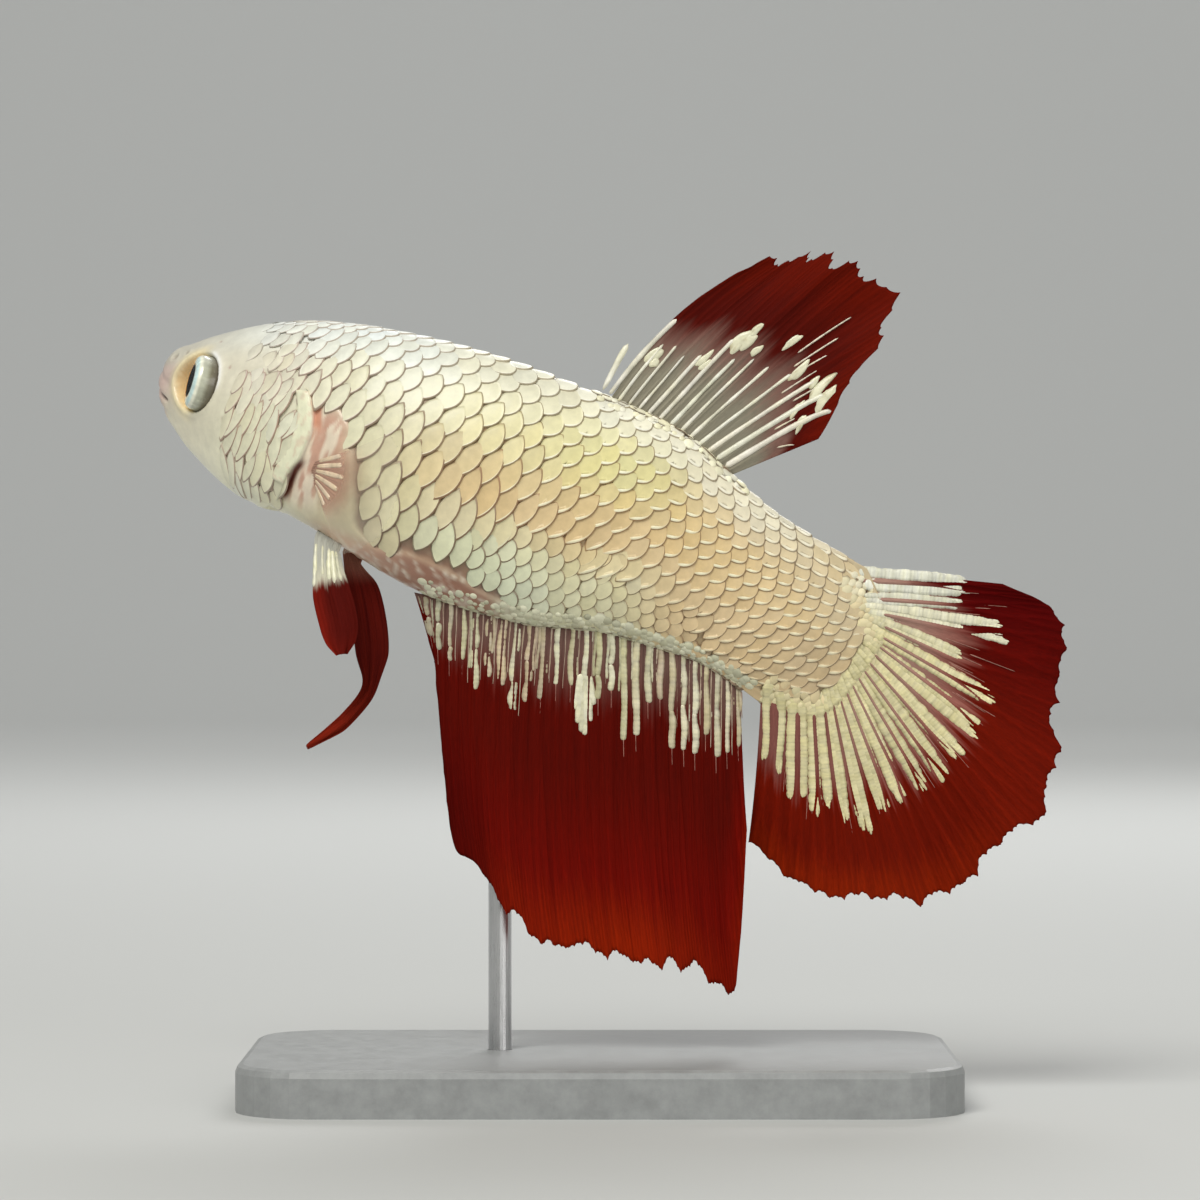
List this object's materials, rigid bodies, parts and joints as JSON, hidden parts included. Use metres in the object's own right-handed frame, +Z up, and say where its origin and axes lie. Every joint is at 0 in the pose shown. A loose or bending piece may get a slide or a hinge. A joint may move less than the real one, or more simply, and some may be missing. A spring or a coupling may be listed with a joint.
{
  "type": "betta fish on a display stand",
  "caption": "Life-size still model of a short-finned male betta fish with fins spread and head turned aside, held on a flat display stand by one upright rod.",
  "frame": {"origin": "centre of the underside of the stand's base", "axes": "+Z up; -X the way the fish swims; -Y the fish's left flank; the head is turned towards +Y"},
  "size_m": [0.061, 0.028, 0.055],
  "materials": {
    "skin": "wet pearly scales, cream to peach",
    "head_skin": "wet pale pinkish skin",
    "eye": "glossy, gold iris with a black pupil",
    "fin_red": "satin dark red membrane with cream rays at its root",
    "fin_clear": "clear membrane with pale rays",
    "stand": "satin grey slab",
    "rod": "brushed"
  },
  "bodies": {
    "root": {"head": "head_skin", "lower_jaw": "head_skin", "gill_cover_left": "head_skin", "gill_cover_right": "head_skin", "eye_left": "eye", "eye_right": "eye", "trunk_front": "skin", "trunk_rear": "skin", "tail_stalk": "skin", "dorsal_fin": "fin_red", "anal_fin": "fin_red", "caudal_fin": "fin_red", "pectoral_fin_left": "fin_clear", "pectoral_fin_right": "fin_clear", "ventral_fin_left": "fin_red", "ventral_fin_right": "fin_red", "stand_base": "stand", "stand_rod": "rod"}
  },
  "joints": []
}
